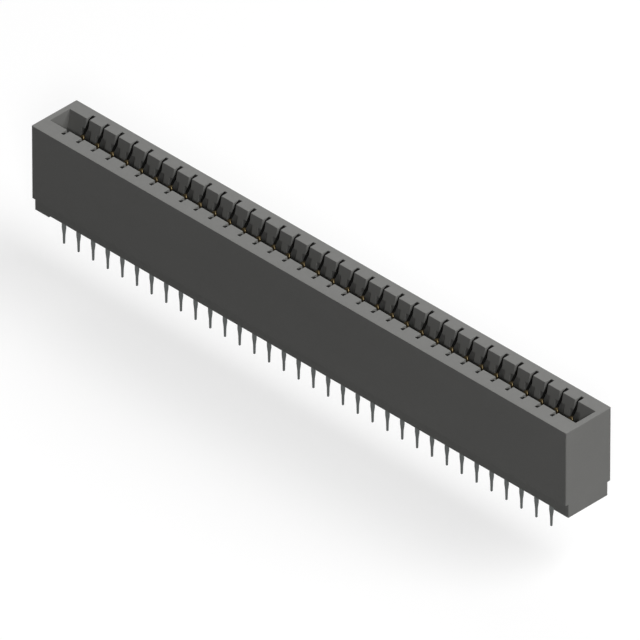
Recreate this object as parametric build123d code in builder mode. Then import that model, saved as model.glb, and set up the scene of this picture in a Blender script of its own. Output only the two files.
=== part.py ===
from build123d import *
import os

# Card edge connector: one moulded housing and two rows of formed spring contacts.
# X runs along the card edge, Y across the slot, +Z points out of the card mouth.
# The origin is midway between the two rows, on the board seating plane. All sizes are in millimetres.

# Contact pattern
positions = 34
pitch = 2.54
row_spacing = 5.08
end_distance = 3.96

# Housing outside
body_width = 7.75
body_height = 12.75
body_offset = -0.27
corner_radius = 0.15
base_height = 1.95
base_inset = 0.47
foot_length = 2.5
standoff = 0.25

# Card mouth and the lip below it
mouth_width = 3.38
throat_width = 2.34
lip_depth = 2.55
end_rim = 0.79

# Card well and the guides at its ends
rib_setback = 0.4
card_depth = 7.9
guide_depth = 3.4
guide_slot_width = 1.85
guide_reach = 1.5
guide_groove = 0.55

# Contact cavities
cavity_width = 1.58
cavity_depth = 1.38
cavity_outer = 2.735
cavity_span = 2.4
cavity_sump = 0.55
notch_width = 0.48

# Contact strip and its side profile
strip_thickness = 0.25
tip_depth = 0.15
tip_room = 0.115
tip_bend_depth = 0.25
tip_bend_room = 0.895
pad_depth = 2.16
pad_length = 0.75
contact_gap = 1.0

# Contact blank, seen square to the strip
finger_width = 0.32
neck_width = 0.38
neck_depth = 2.0
flare_length = 0.25
pad_width = 0.76
root_width = 1.0
tail_width = 0.62
tail_shoulder = 1.6
tail_taper = 0.93
pin_width = 0.32
tip_width = 0.22
tail_length = 3.65

# Places worked out from the sizes above
body_length = (positions - 1) * pitch + 2 * end_distance
base_width = body_width - 2 * base_inset
mouth_length = body_length - 2 * end_rim
lip_bottom = body_height - lip_depth
well_width = throat_width + 2 * rib_setback
card_stop = body_height - card_depth
cavity_floor = card_stop - cavity_sump
guide_top = body_height - guide_depth
card_length = (positions - 1) * pitch + 2 * guide_reach
well_length = card_length - 2 * guide_groove
cavity_top = body_height - cavity_depth
cavity_row_spacing = 2 * cavity_outer - cavity_span


def moulded_housing():
    """One piece of plastic with the card slot, the contact cavities and the feet."""
    with BuildPart() as housing:
        # Lower part, set back under both long sides
        with BuildSketch():
            with Locations((0, body_offset)):
                RectangleRounded(body_length, base_width, corner_radius)
        extrude(amount=base_height)
        # Upper part
        with BuildSketch(Plane.XY.offset(base_height)):
            with Locations((0, body_offset)):
                RectangleRounded(body_length, body_width, corner_radius)
        extrude(amount=body_height - base_height)
        # Space under the body between the two end feet
        with BuildSketch():
            with Locations((0, body_offset)):
                Rectangle(body_length - 2 * foot_length, body_width)
        extrude(amount=standoff, mode=Mode.SUBTRACT)
        # Mouth whose long walls lean in towards the throat
        with BuildSketch(Plane.YZ):
            with BuildLine():
                Polyline(
                    (-mouth_width / 2, body_height),
                    (mouth_width / 2, body_height),
                    (throat_width / 2, lip_bottom),
                    (-throat_width / 2, lip_bottom),
                    close=True,
                )
            make_face()
        extrude(amount=mouth_length / 2, both=True, mode=Mode.SUBTRACT)
        # Open end pockets above the card guides
        with BuildSketch(Plane.XY.offset(guide_top)):
            Rectangle(mouth_length, throat_width)
        extrude(amount=lip_bottom - guide_top, mode=Mode.SUBTRACT)
        # Card well under the lip, down to the rib that stops the card
        with BuildSketch(Plane.XY.offset(card_stop)):
            Rectangle(well_length, well_width)
        extrude(amount=lip_bottom - card_stop, mode=Mode.SUBTRACT)
        # Narrow guide slots that hold the two side edges of the card
        with BuildSketch(Plane.XY.offset(card_stop)):
            Rectangle(card_length, guide_slot_width)
        extrude(amount=guide_top - card_stop, mode=Mode.SUBTRACT)
        # Contact cavities, open to the well
        with BuildSketch(Plane.XY.offset(cavity_floor)):
            with GridLocations(pitch, cavity_row_spacing, positions, 2):
                Rectangle(cavity_width, cavity_span)
        extrude(amount=cavity_top - cavity_floor, mode=Mode.SUBTRACT)
        # Notches in the rim for the contact tips
        with BuildSketch(Plane.XY.offset(cavity_top)):
            with GridLocations(pitch, cavity_row_spacing, positions, 2):
                Rectangle(notch_width, cavity_span)
        extrude(amount=cavity_depth, mode=Mode.SUBTRACT)
        # Slots that the contact tails are pressed through
        with BuildSketch():
            with GridLocations(pitch, row_spacing, positions, 2):
                Rectangle(tail_width, strip_thickness)
        extrude(amount=cavity_floor, mode=Mode.SUBTRACT)
    return housing.part


def formed_contact():
    """One stamped and bent contact of the +Y row, at X = 0."""
    card_face = row_spacing / 2 - strip_thickness / 2
    tail_end = -tail_length
    pad_face = contact_gap / 2
    pad_top = body_height - pad_depth
    tip_bend = (cavity_outer - tip_bend_room, body_height - tip_bend_depth)
    tip = (cavity_outer - tip_room, body_height - tip_depth)
    with BuildPart() as contact:
        # Side profile: straight tail, leaning arm, contact pad, finger that curls into the rim notch
        with BuildSketch(Plane.YZ):
            with BuildLine():
                Polyline(
                    (card_face, tail_end),
                    (card_face, cavity_floor),
                    (pad_face, pad_top - pad_length),
                    (pad_face, pad_top),
                    tip_bend,
                    tip,
                )
                offset(amount=strip_thickness, side=Side.RIGHT, kind=Kind.INTERSECTION)
            make_face()
        extrude(amount=root_width / 2, both=True)
        # Outline of the blank, from the pin's end up to the finger's tip
        taper_top = standoff - tail_shoulder
        taper_bottom = taper_top - tail_taper
        neck = body_height - neck_depth
        with BuildSketch(Plane.XZ):
            with BuildLine():
                Polyline(
                    (0, tail_end),
                    (tip_width / 2, tail_end),
                    (pin_width / 2, taper_bottom),
                    (tail_width / 2, taper_top),
                    (tail_width / 2, cavity_floor),
                    (root_width / 2, cavity_floor),
                    (pad_width / 2, neck - flare_length),
                    (neck_width / 2, neck),
                    (finger_width / 2, body_height),
                    (0, body_height),
                    close=True,
                )
            make_face()
            mirror(about=Plane.YZ)
        extrude(amount=body_width, both=True, mode=Mode.INTERSECT)
    return contact.part


os.makedirs("parts", exist_ok=True)

housing = moulded_housing()
housing.label = "housing"
export_step(housing, "parts/housing.step")

contact = formed_contact()
for index in range(positions):
    along = (index - (positions - 1) / 2) * pitch
    with BuildPart() as pair:
        with Locations((along, 0, 0)):
            with PolarLocations(0, 2):
                add(contact)
    name = f"contact_pair_{index + 1:02d}"
    pair.part.label = name
    export_step(pair.part, f"parts/{name}.step")
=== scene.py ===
"""Looks of a card edge connector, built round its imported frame."""

import logging
import math
from dataclasses import dataclass, field
from enum import Enum

import bmesh
import bpy
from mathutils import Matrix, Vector

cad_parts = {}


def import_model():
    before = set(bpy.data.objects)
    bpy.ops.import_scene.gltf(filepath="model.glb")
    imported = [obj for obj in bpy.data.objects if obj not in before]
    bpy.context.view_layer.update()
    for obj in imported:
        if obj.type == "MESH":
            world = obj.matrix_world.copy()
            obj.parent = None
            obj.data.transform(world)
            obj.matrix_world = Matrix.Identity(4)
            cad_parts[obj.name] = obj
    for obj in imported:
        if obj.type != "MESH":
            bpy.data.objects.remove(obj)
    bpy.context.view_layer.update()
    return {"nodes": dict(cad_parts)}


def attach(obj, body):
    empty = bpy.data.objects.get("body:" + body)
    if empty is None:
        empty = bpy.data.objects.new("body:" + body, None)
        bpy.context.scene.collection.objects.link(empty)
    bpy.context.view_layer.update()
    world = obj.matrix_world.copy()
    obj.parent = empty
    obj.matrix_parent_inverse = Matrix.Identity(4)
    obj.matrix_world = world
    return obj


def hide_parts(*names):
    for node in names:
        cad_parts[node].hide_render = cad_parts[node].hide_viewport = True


LOG = logging.getLogger("connector")
MM = 0.001
BODY = "root"
# Most values of a noise pattern lie between these two.
NOISE_LOW, NOISE_HIGH = 0.3, 0.7


def linear(colour: str) -> tuple[float, float, float, float]:
    """Turn an sRGB hex colour into linear RGBA.

    Args:
        colour: The colour as "#rrggbb".

    Returns:
        Its linear red, green and blue, and an alpha of 1.
    """
    parts = [int(colour[i : i + 2], 16) / 255 for i in (1, 3, 5)]
    red, green, blue = (p / 12.92 if p <= 0.04045 else ((p + 0.055) / 1.055) ** 2.4 for p in parts)
    return red, green, blue, 1.0


def grey(level: float) -> tuple[float, float, float, float]:
    """A linear grey with an alpha of 1."""
    return level, level, level, 1.0


def add_node(
    tree: bpy.types.NodeTree,
    kind: str,
    settings: dict[str, object] | None = None,
    inputs: dict[str | int, object] | None = None,
) -> bpy.types.Node:
    """Add one shader node with its settings and its links.

    Args:
        tree: The node tree that it goes into.
        kind: Blender's name for the kind of node.
        settings: The node's own properties.
        inputs: A value for a socket, or the output socket that feeds it.

    Returns:
        The new node.
    """
    node = tree.nodes.new(kind)
    for name, value in (settings or {}).items():
        setattr(node, name, value)
    for name, value in (inputs or {}).items():
        if isinstance(value, bpy.types.NodeSocket):
            tree.links.new(value, node.inputs[name])
        else:
            node.inputs[name].default_value = value
    return node


def fresh_tree(name: str) -> tuple[bpy.types.Material, bpy.types.NodeTree]:
    """Make an empty node material and return it with its tree."""
    material = bpy.data.materials.new(name)
    material.use_nodes = True
    material.node_tree.nodes.clear()
    return material, material.node_tree


@dataclass(frozen=True)
class MouldedPolyester:
    """Black glass-filled polyester, injection moulded, with the fine matt skin of a spark-eroded tool."""

    base: str = "#6f6f6d"
    worn: str = "#757573"
    ior: float = 1.57
    roughness: float = 0.55
    specular_level: float = 0.12
    roughness_spread: float = 0.06
    grain_mm: float = 0.35
    grain_strength: float = 0.12
    grain_depth_mm: float = 0.02
    flow_mm: float = 14.0
    flow_stretch: float = 0.25

    def material(self) -> bpy.types.Material:
        """Build the plastic: a dull dark body, slow flow marks from the gate and a fine eroded grain."""
        material, tree = fresh_tree("moulded_polyester")
        place = add_node(tree, "ShaderNodeTexCoord").outputs["Object"]
        # Flow marks run along the moulding, so the pattern is drawn out along X.
        flow_place = add_node(
            tree, "ShaderNodeMapping", inputs={"Vector": place, "Scale": (self.flow_stretch, 1.0, 1.0)}
        ).outputs["Vector"]
        flow = add_node(
            tree,
            "ShaderNodeTexNoise",
            inputs={
                "Vector": flow_place,
                "Scale": 1 / (self.flow_mm * MM),
                "Detail": 3.0,
                "Roughness": 0.55,
            },
        ).outputs["Fac"]
        # The eroded grain is about 0.05 mm in the mould. It is drawn coarser, so that it shows.
        grain = add_node(
            tree,
            "ShaderNodeTexNoise",
            inputs={"Vector": place, "Scale": 1 / (self.grain_mm * MM), "Detail": 2.0, "Roughness": 0.6},
        ).outputs["Fac"]
        tint = add_node(
            tree,
            "ShaderNodeMapRange",
            inputs={"Value": flow, "From Min": NOISE_LOW, "From Max": NOISE_HIGH},
        ).outputs["Result"]
        colour = add_node(
            tree,
            "ShaderNodeMix",
            {"data_type": "RGBA"},
            {"Factor": tint, "A": linear(self.base), "B": linear(self.worn)},
        ).outputs[2]
        shine = add_node(
            tree,
            "ShaderNodeMapRange",
            inputs={
                "Value": grain,
                "From Min": NOISE_LOW,
                "From Max": NOISE_HIGH,
                "To Min": self.roughness - self.roughness_spread,
                "To Max": self.roughness + self.roughness_spread,
            },
        ).outputs["Result"]
        bump = add_node(
            tree,
            "ShaderNodeBump",
            inputs={
                "Height": grain,
                "Strength": self.grain_strength,
                "Distance": self.grain_depth_mm * MM,
            },
        ).outputs["Normal"]
        shader = add_node(
            tree,
            "ShaderNodeBsdfPrincipled",
            inputs={
                "Base Color": colour,
                "Roughness": shine,
                "IOR": self.ior,
                "Specular IOR Level": self.specular_level,
                "Normal": bump,
            },
        )
        add_node(tree, "ShaderNodeOutputMaterial", inputs={"Surface": shader.outputs["BSDF"]})
        return material


@dataclass(frozen=True)
class PlatedBronze:
    """Phosphor bronze strip, stamped and bent.

    The tails are tinned and the mating faces gold. The fingers are coloured near-black and non-metallic, as
    painted shade for the dark card slot that they stand in.
    """

    tin: str = "#5a5d5c"
    gold: str = "#7a6b4d"
    finger_painted_shade: str = "#0f0f0e"
    tin_roughness: float = 0.4
    gold_roughness: float = 0.32
    shaded_finger_roughness: float = 0.8
    shaded_finger_specular: float = 0.05
    gold_low: float = 7.2
    gold_high: float = 10.8
    blur: float = 0.15
    streak_mm: float = 0.12
    streak_stretch: float = 0.08
    streak_strength: float = 0.15
    streak_depth_mm: float = 0.01
    roughness_spread: float = 0.05

    def band(
        self, tree: bpy.types.NodeTree, height: bpy.types.NodeSocket, level: float
    ) -> bpy.types.NodeSocket:
        """Tell what lies above a plating line, with the soft edge that a dipped strip has.

        Args:
            tree: The node tree that it goes into.
            height: The height of the shaded point.
            level: The height of the line, in millimetres.

        Returns:
            A factor of 0 below the line and 1 above it.
        """
        return add_node(
            tree,
            "ShaderNodeMapRange",
            {"interpolation_type": "SMOOTHSTEP"},
            {
                "Value": height,
                "From Min": (level - self.blur) * MM,
                "From Max": (level + self.blur) * MM,
            },
        ).outputs["Result"]

    def material(self) -> bpy.types.Material:
        """Build the plating: tin, then gold, then the fingers' painted shade going up, rolled along the
        strip.
        """
        material, tree = fresh_tree("plated_bronze")
        place = add_node(tree, "ShaderNodeTexCoord").outputs["Object"]
        height = add_node(tree, "ShaderNodeSeparateXYZ", inputs={"Vector": place}).outputs["Z"]
        plated = add_node(
            tree,
            "ShaderNodeMix",
            {"data_type": "RGBA"},
            {
                "Factor": self.band(tree, height, self.gold_low),
                "A": linear(self.tin),
                "B": linear(self.gold),
            },
        ).outputs[2]
        # Above the gold the fingers get a near-black, rough, non-metallic colour: painted shade for the
        # shadow and dark reflections deep in the card slot.
        above = self.band(tree, height, self.gold_high)
        metal = add_node(
            tree,
            "ShaderNodeMix",
            {"data_type": "RGBA"},
            {"Factor": above, "A": plated, "B": linear(self.finger_painted_shade)},
        ).outputs[2]
        # Rolling marks run along the strip, so the pattern is drawn out along Z.
        rolled = add_node(
            tree, "ShaderNodeMapping", inputs={"Vector": place, "Scale": (1.0, 1.0, self.streak_stretch)}
        ).outputs["Vector"]
        streaks = add_node(
            tree,
            "ShaderNodeTexNoise",
            inputs={"Vector": rolled, "Scale": 1 / (self.streak_mm * MM), "Detail": 2.0},
        ).outputs["Fac"]
        dull = add_node(
            tree,
            "ShaderNodeMapRange",
            inputs={
                "Value": streaks,
                "From Min": NOISE_LOW,
                "From Max": NOISE_HIGH,
                "To Min": self.gold_roughness - self.roughness_spread,
                "To Max": self.tin_roughness + self.roughness_spread,
            },
        ).outputs["Result"]
        bump = add_node(
            tree,
            "ShaderNodeBump",
            inputs={
                "Height": streaks,
                "Strength": self.streak_strength,
                "Distance": self.streak_depth_mm * MM,
            },
        ).outputs["Normal"]
        rough = add_node(
            tree, "ShaderNodeMix", inputs={"Factor": above, "A": dull, "B": self.shaded_finger_roughness}
        ).outputs[0]
        bright = add_node(
            tree, "ShaderNodeMath", {"operation": "SUBTRACT"}, {0: 1.0, 1: above}
        ).outputs[0]
        shader = add_node(
            tree,
            "ShaderNodeBsdfPrincipled",
            inputs={
                "Base Color": metal,
                "Metallic": bright,
                "Roughness": rough,
                "Specular IOR Level": self.shaded_finger_specular,
                "Normal": bump,
            },
        )
        add_node(tree, "ShaderNodeOutputMaterial", inputs={"Surface": shader.outputs["BSDF"]})
        return material


class Row(Enum):
    """The two rows of contacts, each with the sign of its side of the card slot."""

    FRONT = -1
    BACK = 1


@dataclass
class Housing:
    """The moulded housing with soft edges, in place of its CAD node.

    Args:
        length: Along the card edge.
        widths: Across the upper and the lower body.
        offset: Where the middle of the body stands, across the card slot.
        corner: Radius of the upright outer corners.
        edge: Radius of every other moulded edge.
        steps: Facets round each edge.
        sharp_degrees: Edges that turn more than this are rounded.
        flat_degrees: Facets that turn less than this are one wall.
        hair: Points closer than this are one point.
        slack: How far a corner facet may stand from its place.
        plastic: What it is moulded from.
    """

    length: float = 91.74
    widths: tuple[float, float] = (7.75, 6.81)
    offset: float = -0.27
    corner: float = 0.15
    edge: float = 0.06
    steps: int = 3
    sharp_degrees: float = 20.0
    flat_degrees: float = 1.0
    hair: float = 0.001
    slack: float = 0.005
    plastic: MouldedPolyester = field(default_factory=MouldedPolyester)

    def square_corners(self, work: bmesh.types.BMesh) -> None:
        """Gather the facets of the upright outer corners into square ones, to be rounded anew.

        Args:
            work: The housing's mesh, in metres.
        """
        end = self.length / 2 * MM
        middle = self.offset * MM
        low, high = -self.slack * MM, (self.corner + self.slack) * MM
        for width in self.widths:
            for vert in work.verts:
                side = vert.co.y - middle
                if low < end - abs(vert.co.x) < high and low < width / 2 * MM - abs(side) < high:
                    vert.co.x = math.copysign(end, vert.co.x)
                    vert.co.y = middle + math.copysign(width / 2 * MM, side)

    def tidy(self, work: bmesh.types.BMesh) -> None:
        """Join the CAD facets into plain walls."""
        bmesh.ops.remove_doubles(work, verts=work.verts, dist=self.hair * MM)
        bmesh.ops.dissolve_limit(
            work, angle_limit=math.radians(self.flat_degrees), verts=work.verts, edges=work.edges
        )

    def place(self, node: bpy.types.Object) -> None:
        """Build the rounded housing from the CAD walls and dress it.

        Args:
            node: The CAD node of the housing.
        """
        work = bmesh.new()
        work.from_mesh(node.data)
        self.tidy(work)
        self.square_corners(work)
        self.tidy(work)
        weight = work.edges.layers.float.new("bevel_weight_edge")
        outer = (self.length / 2 - self.slack) * MM
        for edge in work.edges:
            if not edge.is_manifold or edge.calc_face_angle() < math.radians(self.sharp_degrees):
                continue
            low, high = (vert.co for vert in edge.verts)
            upright = abs(low.x - high.x) + abs(low.y - high.y) < self.hair * MM
            corner = upright and abs(low.x) > outer
            edge[weight] = 1.0 if corner else self.edge / self.corner
        mesh = bpy.data.meshes.new("moulded_housing")
        work.to_mesh(mesh)
        work.free()
        piece = bpy.data.objects.new("moulded_housing", mesh)
        bpy.context.collection.objects.link(piece)
        soft = piece.modifiers.new("moulded_edges", "BEVEL")
        soft.width = self.corner * MM
        soft.segments = self.steps
        soft.limit_method = "WEIGHT"
        soft.use_clamp_overlap = False
        soft.harden_normals = True
        mesh.materials.append(self.plastic.material())
        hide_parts("housing")
        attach(piece, BODY)
        LOG.info("housing placed")


@dataclass
class SpringContacts:
    """The 68 formed contacts, one piece for each pair, in place of their CAD nodes.

    Args:
        positions: Contacts in a row.
        pitch: Distance between neighbours in a row.
        thickness: Of the strip.
        stamped_edge: How far the strip's edges are broken.
        tail_plane: Where the tails stand, across the card slot.
        tail_end: Height of the tails' lower ends.
        floor: Height of the cavity floors that the shoulders rest on.
        pad_face: Where the pad faces the card, across the card slot.
        pad_low: Height of the bend below the pad.
        pad_high: Height of the bend above the pad.
        curl: Where the finger bends outward, as (y, z).
        tip: The finger's tip, as (y, z).
        root_bend: Radius of the bend above the tail.
        pad_bend: Radius of the bends below and above the pad.
        curl_bend: Radius of the bend near the finger's tip.
        bend_step_degrees: Turn of each step round a bend.
        taper_low: Height of the taper's lower end, where the pin begins.
        taper_high: Height of the taper's upper end.
        pin_end_half: Half the width of the pin's end.
        pin_half: Half the width of the pin at the taper.
        tail_half: Half the width of the tail.
        shoulder_half: Half the width of the shoulders.
        shoulder_step: Height over which the shoulders widen.
        outline: The blank above the shoulders, as (height, half width).
        least_step: Stations closer than this along Z are one station.
        crease_degrees: Edges that turn more than this are shaded sharp.
        metal: What it is stamped from.
    """

    positions: int = 34
    pitch: float = 2.54
    thickness: float = 0.25
    stamped_edge: float = 0.03
    tail_plane: float = 2.54
    tail_end: float = -3.65
    floor: float = 4.3
    pad_face: float = 0.5
    pad_low: float = 9.84
    pad_high: float = 10.45
    curl: tuple[float, float] = (2.03, 12.51)
    tip: tuple[float, float] = (2.64, 12.71)
    root_bend: float = 0.9
    pad_bend: float = 1.15
    curl_bend: float = 0.3
    bend_step_degrees: float = 6.0
    taper_low: float = -2.28
    taper_high: float = -1.35
    pin_end_half: float = 0.11
    pin_half: float = 0.16
    tail_half: float = 0.31
    shoulder_half: float = 0.5
    shoulder_step: float = 0.001
    outline: tuple[tuple[float, float], ...] = (
        (10.5, 0.38),
        (10.75, 0.13),
        (12.1, 0.13),
        (12.3, 0.2),
        (12.58, 0.235),
        (12.75, 0.235),
    )
    least_step: float = 1e-6
    crease_degrees: float = 28.0
    metal: PlatedBronze = field(default_factory=PlatedBronze)

    def card_line(self) -> list[Vector]:
        """Corners of the strip's card face, from the tail's end to the finger's tip, as (y, z)."""
        tail = self.tail_plane - self.thickness / 2
        return [
            Vector((tail, self.tail_end)),
            Vector((tail, self.floor)),
            Vector((self.pad_face, self.pad_low)),
            Vector((self.pad_face, self.pad_high)),
            Vector(self.curl),
            Vector(self.tip),
        ]

    def middle_line(self) -> list[Vector]:
        """Corners of the line in the middle of the strip, half a thickness behind the card face."""
        corners = self.card_line()
        half = self.thickness / 2
        normals = []
        for low, high in zip(corners, corners[1:]):
            run = (high - low).normalized()
            normals.append(Vector((run.y, -run.x)))
        out = [corners[0] + normals[0] * half]
        for corner, before, after in zip(corners[1:-1], normals, normals[1:]):
            mitre = (before + after).normalized()
            out.append(corner + mitre * (half / mitre.dot(before)))
        out.append(corners[-1] + normals[-1] * half)
        return out

    def bent_line(self) -> list[Vector]:
        """The middle line with a round bend at each corner."""
        corners = self.middle_line()
        radii = [self.root_bend, self.pad_bend, self.pad_bend, self.curl_bend]
        out = [corners[0]]
        for before, corner, after, radius in zip(corners, corners[1:], corners[2:], radii):
            come = (corner - before).normalized()
            leave = (after - corner).normalized()
            turn = come.angle(leave)
            reach = radius * math.tan(turn / 2)
            start = corner - come * reach
            side = Vector((-come.y, come.x))
            if side.dot(leave) < 0:
                side = -side
            centre = start + side * radius
            steps = max(2, round(math.degrees(turn) / self.bend_step_degrees))
            for step in range(steps + 1):
                angle = turn * step / steps
                out.append(centre - side * (radius * math.cos(angle)) + come * (radius * math.sin(angle)))
        out.append(corners[-1])
        return out

    def half_widths(self) -> list[tuple[float, float]]:
        """Outline of the blank as (height, half width), from the pin's end up to the finger's tip."""
        return [
            (self.tail_end, self.pin_end_half),
            (self.taper_low, self.pin_half),
            (self.taper_high, self.tail_half),
            (self.floor - self.shoulder_step, self.tail_half),
            (self.floor, self.shoulder_half),
            *self.outline,
        ]

    def half_width(self, height: float) -> float:
        """Half the blank's width at a height."""
        outline = self.half_widths()
        for (low, wide_low), (high, wide_high) in zip(outline, outline[1:]):
            if height <= high:
                part = (height - low) / (high - low)
                return wide_low + (wide_high - wide_low) * part
        return outline[-1][1]

    def stations(self) -> list[tuple[Vector, Vector]]:
        """Points along the bent line with the direction there, with one at each change of width."""
        line = self.bent_line()
        heights = [z for z, _ in self.half_widths()[1:-1]]
        points = [line[0]]
        for low, high in zip(line, line[1:]):
            for height in heights:
                if low.y + self.least_step < height < high.y - self.least_step:
                    points.append(low.lerp(high, (height - low.y) / (high.y - low.y)))
            points.append(high)
        out = []
        for index, point in enumerate(points):
            before = points[max(index - 1, 0)]
            after = points[min(index + 1, len(points) - 1)]
            out.append((point, (after - before).normalized()))
        return out

    def pair_mesh(self) -> bpy.types.Mesh:
        """Loft the strip's section along its bent line, once for each row."""
        mesh = bpy.data.meshes.new("spring_contact")
        work = bmesh.new()
        half = self.thickness / 2
        cut = self.stamped_edge
        for row in Row:
            rings = []
            for point, run in self.stations():
                wide = self.half_width(point.y)
                behind = Vector((run.y, -run.x))
                ring = []
                for across, depth in (
                    (wide, cut - half),
                    (wide, half - cut),
                    (wide - cut, half),
                    (cut - wide, half),
                    (-wide, half - cut),
                    (-wide, cut - half),
                    (cut - wide, -half),
                    (wide - cut, -half),
                ):
                    y, z = point + behind * depth
                    ring.append(
                        work.verts.new((across * row.value * MM, y * row.value * MM, z * MM))
                    )
                rings.append(ring)
            for lower, upper in zip(rings, rings[1:]):
                for k in range(len(lower)):
                    n = (k + 1) % len(lower)
                    work.faces.new((lower[k], lower[n], upper[n], upper[k]))
            work.faces.new(tuple(reversed(rings[0])))
            work.faces.new(tuple(rings[-1]))
        bmesh.ops.recalc_face_normals(work, faces=work.faces)
        work.to_mesh(mesh)
        work.free()
        mesh.materials.append(self.metal.material())
        for face in mesh.polygons:
            face.use_smooth = True
        mesh.set_sharp_from_angle(angle=math.radians(self.crease_degrees))
        return mesh

    def place(self) -> None:
        """Put a pair of contacts at each position, in place of its CAD node."""
        mesh = self.pair_mesh()
        for index in range(self.positions):
            pair = bpy.data.objects.new(f"spring_contacts_{index + 1:02d}", mesh)
            bpy.context.collection.objects.link(pair)
            pair.location.x = (index - (self.positions - 1) / 2) * self.pitch * MM
            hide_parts(f"contact_pair_{index + 1:02d}")
            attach(pair, BODY)
        LOG.info("%d pairs of contacts placed", self.positions)


@dataclass(frozen=True)
class SoftLight:
    """One square soft light that faces the object.

    Args:
        name: What the light is called.
        towards: The direction from the object to the light.
        distance: How far away it hangs, in metres.
        size: The length of its side, in metres.
        power: Its power in watts.
    """

    name: str
    towards: tuple[float, float, float]
    distance: float
    size: float
    power: float

    def hang(self) -> None:
        """Put the light in its place."""
        data = bpy.data.lights.new(self.name, "AREA")
        data.shape = "SQUARE"
        data.size = self.size
        data.energy = self.power
        light = bpy.data.objects.new(self.name, data)
        bpy.context.collection.objects.link(light)
        way = Vector(self.towards).normalized()
        light.location = way * self.distance
        light.rotation_mode = "QUATERNION"
        light.rotation_quaternion = way.to_track_quat("Z", "Y")


@dataclass
class Studio:
    """A plain pale floor, soft light and the camera at the photograph's angle.

    Args:
        azimuth: The camera's turn round the object, in degrees.
        elevation: The camera's angle above the floor, in degrees.
        lens: A long lens, because the photograph has no perspective, in millimetres.
        sensor: Width of the sensor, in millimetres.
        frame_mm: What the photograph's width covers.
        target: The point in the middle of the picture.
        clip: The nearest and farthest things seen, in metres.
        floor_mm: Height of the floor. It lies below the tails, so that the shadow is soft.
        floor_size: The length of its side, in metres.
        floor_shade: The grey that lights the object from below.
        floor_pale: The grey that the camera sees, which takes the shadow.
        floor_lift: The light added to that grey, which keeps it nearly white.
        room_soft: Strength of the room's light on the object.
        lights: The soft lights round the object.
    """

    azimuth: float = 45.0
    elevation: float = math.degrees(math.atan(math.sqrt(0.5)))
    lens: float = 1600.0
    sensor: float = 36.0
    frame_mm: float = 77.74
    clip: tuple[float, float] = (0.1, 20.0)
    target: tuple[float, float, float] = (0.081, -0.221, 4.662)
    floor_mm: float = -9.5
    floor_size: float = 12.0
    floor_shade: float = 0.05
    floor_pale: float = 0.42
    floor_lift: float = 0.6
    room_soft: float = 0.08
    lights: tuple[SoftLight, ...] = (
        SoftLight("front", (0.6, -0.6, 0.54), 1.2, 0.15, 3.95),
        SoftLight("key", (0.59, 0.2, 0.72), 1.2, 1.0, 15.2),
        SoftLight("fill", (-0.75, 0.5, 0.43), 1.4, 1.0, 7.0),
    )

    def camera(self) -> None:
        """Set up the camera where the photograph was taken from."""
        data = bpy.data.cameras.new("camera")
        data.lens = self.lens
        data.sensor_width = self.sensor
        camera = bpy.data.objects.new("camera", data)
        bpy.context.collection.objects.link(camera)
        turn, rise = math.radians(self.azimuth), math.radians(self.elevation)
        level = math.cos(rise)
        back = Vector((math.sin(turn) * level, -math.cos(turn) * level, math.sin(rise)))
        distance = self.frame_mm * self.lens / self.sensor
        camera.location = (Vector(self.target) + back * distance) * MM
        camera.rotation_mode = "QUATERNION"
        camera.rotation_quaternion = (-back).to_track_quat("-Z", "Y")
        data.clip_start, data.clip_end = self.clip
        bpy.context.scene.camera = camera

    def seen(self, tree: bpy.types.NodeTree) -> bpy.types.NodeSocket:
        """A factor of 1 for what the camera and reflections see, and 0 for what lights the object."""
        path = add_node(tree, "ShaderNodeLightPath").outputs
        return add_node(
            tree,
            "ShaderNodeMath",
            {"operation": "MAXIMUM"},
            {0: path["Is Camera Ray"], 1: path["Is Glossy Ray"]},
        ).outputs[0]

    def floor(self) -> None:
        """Lay the floor below the tails. The camera and reflections see it nearly white, with the shadow."""
        half = self.floor_size / 2
        mesh = bpy.data.meshes.new("floor")
        z = self.floor_mm * MM
        mesh.from_pydata(
            [(-half, -half, z), (half, -half, z), (half, half, z), (-half, half, z)], [], [(0, 1, 2, 3)]
        )
        floor = bpy.data.objects.new("floor", mesh)
        bpy.context.collection.objects.link(floor)
        material, tree = fresh_tree("pale_floor")
        shade = add_node(tree, "ShaderNodeBsdfDiffuse", inputs={"Color": grey(self.floor_shade)})
        pale = add_node(tree, "ShaderNodeBsdfDiffuse", inputs={"Color": grey(self.floor_pale)})
        lift = add_node(tree, "ShaderNodeEmission", inputs={"Strength": self.floor_lift})
        white = add_node(
            tree, "ShaderNodeAddShader", inputs={0: pale.outputs[0], 1: lift.outputs[0]}
        )
        both = add_node(
            tree,
            "ShaderNodeMixShader",
            inputs={0: self.seen(tree), 1: shade.outputs[0], 2: white.outputs[0]},
        )
        add_node(tree, "ShaderNodeOutputMaterial", inputs={"Surface": both.outputs[0]})
        mesh.materials.append(material)

    def world(self) -> None:
        """Fill the room with soft light. The camera and reflections see it white."""
        world = bpy.data.worlds.new("room")
        bpy.context.scene.world = world
        world.use_nodes = True
        tree = world.node_tree
        tree.nodes.clear()
        soft = add_node(tree, "ShaderNodeBackground", inputs={"Strength": self.room_soft})
        white = add_node(
            tree, "ShaderNodeBackground", inputs={"Color": grey(1.0), "Strength": 1.0}
        )
        both = add_node(
            tree,
            "ShaderNodeMixShader",
            inputs={0: self.seen(tree), 1: soft.outputs[0], 2: white.outputs[0]},
        )
        add_node(tree, "ShaderNodeOutputWorld", inputs={"Surface": both.outputs[0]})

    def build(self) -> None:
        """Make the camera, the floor, the room and the lights."""
        self.camera()
        self.floor()
        self.world()
        for light in self.lights:
            light.hang()
        bpy.context.scene.view_settings.view_transform = "Standard"
        LOG.info("studio set up with %d lights", len(self.lights))


def main() -> None:
    """Build every sub-assembly in order."""
    logging.basicConfig(level=logging.INFO)
    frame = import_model()
    Housing().place(frame["nodes"]["housing"])
    SpringContacts().place()
    Studio().build()


if __name__ == "__main__":
    main()
